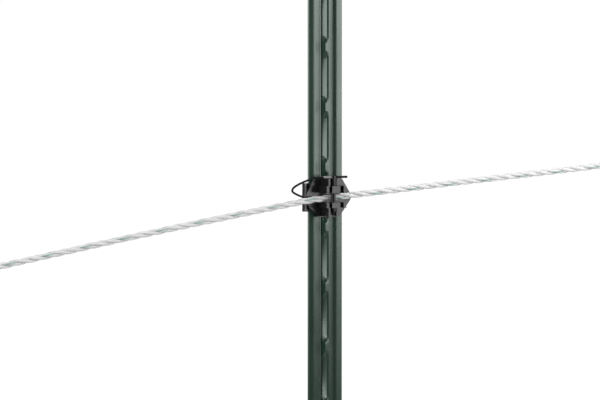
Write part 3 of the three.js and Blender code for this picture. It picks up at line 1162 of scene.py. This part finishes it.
    def build_pin(self) -> bpy.types.Object:
        """Build the locking pin: a tapered stem under a cross bar."""
        r = self.pin_radius
        stem = Bench.turned(
            [(r * 0.5, self.pin_tip), (r * 0.66, self.pin_tip + 0.3), (r * 0.98, self.pin_tip + 3),
             (r, self.pin_tip + 3.6), (r, self.head_top - 0.2), (r - 0.2, self.head_top)],
            (self.pin_x, self.pin_y, self.z), "Z", 40,
        )
        low, high = self.head
        half = self.head_depth / 2
        y, bottom, top = self.pin_y, self.head_bottom + self.z, self.head_top + self.z
        mid = self.pin_x
        wing = Bench.drawn(
            [(low, y + half, bottom), (low, y + half, top), (low, y - half + 1.7, top),
             (low, y - half, bottom + 0.5), (low, y - half, bottom)],
            (mid - low, 0, 0),
        )
        outline = [
            (mid, y + half - 0.6), (mid, y - 0.2), (high - 0.5, y - half), (high, y - half + 0.5),
            (high, y + half - 1.2),
        ]
        grip = Bench.drawn([(x, depth, bottom + 0.1) for x, depth in outline], (0, 0, top - bottom - 0.2))
        Bench.combine(stem, [wing, grip], "UNION")
        Bench.soften(stem, 0.22, 2)
        return Bench.finish(
            stem, "locking_pin_moulding", Slot.PLASTIC, self.pin_material, ["locking_pin"], PIN_BODY,
        )

    def build_strap(self) -> bpy.types.Object:
        """Build the strap that keeps the pin with the insulator."""
        points = [Vector((x, y, z + self.z)) * MM for x, y, z in STRAP_LINE]
        line = even(smooth_line(points, 0.3 * MM), 0.9 * MM)
        from_end = [min(i, len(line) - 1 - i) for i in range(len(line))]
        radii = [self.strap_radius * (1 + 0.35 * max(0.0, 1 - steps / 3)) for steps in from_end]
        strap = Bench.tube(line, radii, 18)
        Bench.finish(strap, "pin_strap", Slot.PLASTIC, self.strap_material, ["pin_tether"], None)
        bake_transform(strap)
        return strap


STRAP_LINE: list[Point3] = [
    (-11.6, -14.6, 18.6), (-16.0, -14.1, 18.8), (-20.9, -13.6, 17.7), (-25.7, -13.0, 16.2),
    (-31.4, -12.2, 14.1), (-37.0, -11.2, 11.3), (-39.6, -10.3, 9.0), (-39.8, -9.3, 6.7),
    (-37.4, -8.2, 4.9), (-32.6, -6.9, 2.8), (-27.7, -5.6, 1.2), (-22.9, -4.4, 0.9),
]


# ------------------------------------------------------------------ clamps


@dataclass
class RopeClamp:
    """The two-plate clamp that closes an eye, with its bolts and nuts."""

    end: End
    material: bpy.types.Material
    length: float = 24.0
    half_height: float = 17.0
    leg_spacing: float = 6.6
    seam: float = 0.5
    sheet: float = 1.8
    bore: float = 3.3
    corner: float = 3.0
    bolt_offset: float = 12.2
    shank: float = 2.0
    hole: float = 2.3
    head: float = 3.7
    head_height: float = 2.4
    nut_radius: float = 4.04
    nut: float = 3.2

    def bar_x(self, radius: float, z: float, x0: float, x1: float) -> bpy.types.Object:
        """Add a round bar along X."""
        piece = Bench.bar(radius, (x0, x1), (0, 0, 0), "Z", 40)
        piece.data.transform(Matrix.Translation((0, 0, z * MM)) @ Matrix.Rotation(math.pi / 2, 4, "Y"))
        return piece

    def plate(self, side: int) -> bpy.types.Object:
        """Build one pressed plate with its grooves and holes.

        Args:
            side: -1 at the front, 1 at the back.

        Returns:
            The plate.
        """
        middle = self.leg_spacing / 2
        low, high = middle - self.half_height, middle + self.half_height
        corners = [(0, low), (self.length, low), (self.length, high), (0, high)]
        outline = round_corners([(x, z, self.corner) for x, z in corners], 6)
        flat = Bench.drawn([(x, side * self.seam, z) for x, z in outline], (0, side * self.sheet, 0))
        outer = self.bore + self.sheet
        humps = [self.bar_x(outer, z, 0.01, self.length - 0.01) for z in (0, self.leg_spacing)]
        end = (self.length - 0.02, outer - 0.01, self.leg_spacing)
        humps.append(Bench.block((0.02, -outer + 0.01, 0), end))
        hump = Bench.combine(humps[0], humps[1:], "UNION")
        y = sorted((side * (self.seam + 0.01), side * (outer + 1)))
        keep = Bench.block((-1, y[0], -20), (self.length + 1, y[1], 30))
        Bench.combine(hump, [keep], "INTERSECT")
        Bench.combine(flat, [hump], "UNION")
        cuts = [self.bar_x(self.bore, z, -1, self.length + 1) for z in (0, self.leg_spacing)]
        end = (self.length + 1, self.bore - 0.01, self.leg_spacing)
        cuts.append(Bench.block((-1, -self.bore + 0.01, 0), end))
        for way in (-1, 1):
            spot = (self.length / 2, 0, middle + way * self.bolt_offset)
            cuts.append(Bench.bar(self.hole, (-12, 12), spot, "Y"))
        Bench.combine(flat, cuts, "DIFFERENCE")
        Bench.soften(flat, 0.25, 2, 35)
        return flat

    def bolt(self) -> bpy.types.Object:
        """Build a pan-headed bolt with a threaded end, at the clamp's own origin."""
        face = -(self.seam + self.sheet + 0.3)
        end = -face + self.nut + 1.6
        profile = [
            (self.head * 0.5, face - self.head_height), (self.head * 0.72, face - self.head_height * 0.96),
            (self.head * 0.9, face - self.head_height * 0.75), (self.head, face - self.head_height * 0.4),
            (self.head, face), (self.shank, face), (self.shank, -face),
        ]
        y = -face
        while y + 0.7 < end - 0.3:
            profile += [(self.shank - 0.22, y + 0.35), (self.shank, y + 0.7)]
            y += 0.7
        profile += [(self.shank - 0.4, end)]
        bolt = Bench.turned(profile, (0, 0, 0), "Y", 32)
        socket = Bench.bar(1.6, (face - self.head_height - 1, face - 0.9), (0, 0, 0), "Y", 6)
        Bench.combine(bolt, [socket], "DIFFERENCE")
        Bench.smooth(bolt, 35)
        return bolt

    def hex_nut(self) -> bpy.types.Object:
        """Build a nut with chamfered corners, at the clamp's own origin."""
        face = self.seam + self.sheet + 0.3
        r = self.nut_radius
        nut = Bench.bar(r, (face, face + self.nut), (0, 0, 0), "Y", 6)
        cone = Bench.turned(
            [(r * 0.9, face - 0.01), (r * 1.02, face + 0.45), (r * 1.02, face + self.nut - 0.45),
             (r * 0.9, face + self.nut + 0.01)], (0, 0, 0), "Y", 36,
        )
        Bench.combine(nut, [cone], "INTERSECT")
        bore = Bench.bar(self.hole, (face - 1, face + self.nut + 1), (0, 0, 0), "Y")
        Bench.combine(nut, [bore], "DIFFERENCE")
        Bench.soften(nut, 0.12, 1, 35)
        return nut

    def build(self, place: Matrix) -> list[bpy.types.Object]:
        """Build the clamp's six pieces and lay them in its place on the rope's end.

        Args:
            place: The clamp's frame on the rope's end.

        Returns:
            The clamp's six pieces.
        """
        bolt, nut = self.bolt(), self.hex_nut()
        made = {"front": self.plate(-1), "back": self.plate(1)}
        for spot, way in (("inner", -1), ("outer", 1)):
            shift = Matrix.Translation(
                (self.length / 2 * MM, 0, (self.leg_spacing / 2 + way * self.bolt_offset) * MM)
            )
            for key, model in (("bolt", bolt), ("nut", nut)):
                made[f"{key}_{spot}"] = Bench.copy(model)
                made[f"{key}_{spot}"].data.transform(shift)
        for used in (bolt, nut):
            bpy.data.objects.remove(used, do_unlink=True)
        for key, piece in made.items():
            piece.data.transform(place)
            node = f"clamp_{self.end.value}_{key}"
            Bench.finish(piece, f"rope_{node}", Slot.ZINC, self.material, [node])
        return list(made.values())


# ------------------------------------------------------------------ studio


@dataclass
class Studio:
    """The floor, the soft lights and the camera."""

    target: Point3 = (0.0, 0.0, 0.843)
    azimuth: float = -29.0
    elevation: float = 3.0
    distance: float = 6.0
    view_width: float = 0.540
    sensor: float = 36.0
    off_right: float = 0.02336
    off_up: float = -0.0027
    floor_radius: float = 7.0

    def axes(self) -> tuple[Vector, Vector, Vector]:
        """The camera's right, up and back directions."""
        a, e = math.radians(self.azimuth), math.radians(self.elevation)
        right = Vector((math.cos(a), math.sin(a), 0))
        back = Vector((math.sin(a) * math.cos(e), -math.cos(a) * math.cos(e), math.sin(e)))
        return right, back.cross(right), back

    def camera(self) -> None:
        """Add the camera."""
        right, up, back = self.axes()
        data = bpy.data.cameras.new("camera")
        data.sensor_width = self.sensor
        data.lens = self.sensor * self.distance / self.view_width
        data.clip_end = 100
        camera = bpy.data.objects.new("camera", data)
        aim = Vector(self.target) + right * -self.off_right + up * self.off_up
        turn = Matrix((right, up, back)).transposed().to_4x4()
        camera.matrix_world = Matrix.Translation(aim + back * self.distance) @ turn
        bpy.context.scene.collection.objects.link(camera)
        bpy.context.scene.camera = camera
        bpy.context.scene.view_settings.view_transform = "Standard"

    def floor(self) -> None:
        """Add the plain pale floor."""
        bpy.ops.object.select_all(action="DESELECT")
        bpy.ops.mesh.primitive_circle_add(
            vertices=96, radius=self.floor_radius, fill_type="NGON", location=(0, 0, -0.0005),
        )
        floor = bpy.context.active_object
        floor.name = "studio_floor"
        material, nodes, shader = new_material("studio_floor")
        lift = nodes.math("MULTIPLY", nodes.add("LightPath", {}).outputs["Is Camera Ray"], 0.5)
        nodes.feed(shader, {
            "Base Color": (0.86, 0.86, 0.86, 1), "Roughness": 0.9,
            "Emission Color": (1, 1, 1, 1), "Emission Strength": lift,
        })
        floor.data.materials.append(material)

    def hang(self, data: bpy.types.Light, place: Sequence[float], turn: Sequence[float]) -> None:
        """Put a light in the scene.

        Args:
            data: The light.
            place: Where it stands, in metres.
            turn: Its rotation.
        """
        lamp = bpy.data.objects.new(data.name, data)
        lamp.location = place
        lamp.rotation_euler = turn
        bpy.context.scene.collection.objects.link(lamp)

    def lamp(self, name: str, azimuth: float, low: float, high: float, width: float, distance: float,
             radiance: float) -> None:
        """Add an upright soft light that faces the post.

        Args:
            name: Its name.
            azimuth: Direction from the post, in degrees, 0 at the studded front.
            low: Height of its lower edge in metres.
            high: Height of its upper edge in metres.
            width: Its width in metres.
            distance: Its distance from the post in metres.
            radiance: How bright its face is.
        """
        data = bpy.data.lights.new(name, "AREA")
        data.shape = "RECTANGLE"
        data.size = width
        data.size_y = high - low
        data.energy = radiance * math.pi * width * (high - low)
        a = math.radians(azimuth)
        place = Vector((math.sin(a) * distance, -math.cos(a) * distance, (low + high) / 2))
        self.hang(data, place, (math.pi / 2, 0, a))

    def beam(self, name: str, place: Point3, size: float, energy: float, spread: float) -> None:
        """Add a square soft light aimed at the insulator.

        Args:
            name: Its name.
            place: Where it stands, in metres.
            size: Its side in metres.
            energy: Its power in watts.
            spread: How wide its beam is, in degrees.
        """
        data = bpy.data.lights.new(name, "AREA")
        data.size = size
        data.energy = energy
        data.spread = math.radians(spread)
        aim = Vector(self.target) - Vector(place)
        self.hang(data, place, aim.to_track_quat("-Z", "Y").to_euler())

    def lights(self) -> None:
        """Add the studio lights and the even surroundings."""
        self.lamp("key_right", 55, 0.74, 1.5, 1.6, 1.15, 3.9)
        self.lamp("side_left", -78, 0.71, 1.6, 1.0, 1.35, 4.8)
        self.lamp("back_light", 165, 0.3, 2.2, 1.6, 2.4, 0.9)
        self.beam("over_right", (0.55, -0.06, 1.9), 0.56, 1.9, 90)
        world = bpy.data.worlds.new("studio")
        bpy.context.scene.world = world
        world.use_nodes = True
        nodes = Nodes(world.node_tree)
        seen = nodes.add("LightPath", {}).outputs["Is Camera Ray"]
        color = nodes.mix(seen, (0.19, 0.19, 0.19, 1), (1.02, 1.02, 1.02, 1))
        nodes.feed(world.node_tree.nodes["Background"], {"Color": color})


def main() -> None:
    """Build the studio, the rope and every piece, in order."""
    logging.basicConfig(level=logging.INFO, format="%(message)s", stream=sys.stdout)
    studio = Studio()
    studio.camera()
    rope_material = RopeFinish().material()
    paint, plastic, zinc = PAINT.material(), PLASTIC.material(), ZINC.material()
    for end in End:
        rope = TwistedRope(end, rope_material)
        rope.on_it = RopeClamp(end, zinc).build(rope.end_frame())
        rope.build()
    StudPost(paint).build()
    anchor = Anchor(paint)
    anchor.plate()
    anchor.rivets()
    insulator = PinLockInsulator(plastic, PIN_PLASTIC.material(), STRAP_PLASTIC.material())
    insulator.build_body()
    insulator.build_pin()
    insulator.build_strap()
    studio.floor()
    studio.lights()


if __name__ == "__main__":
    main()
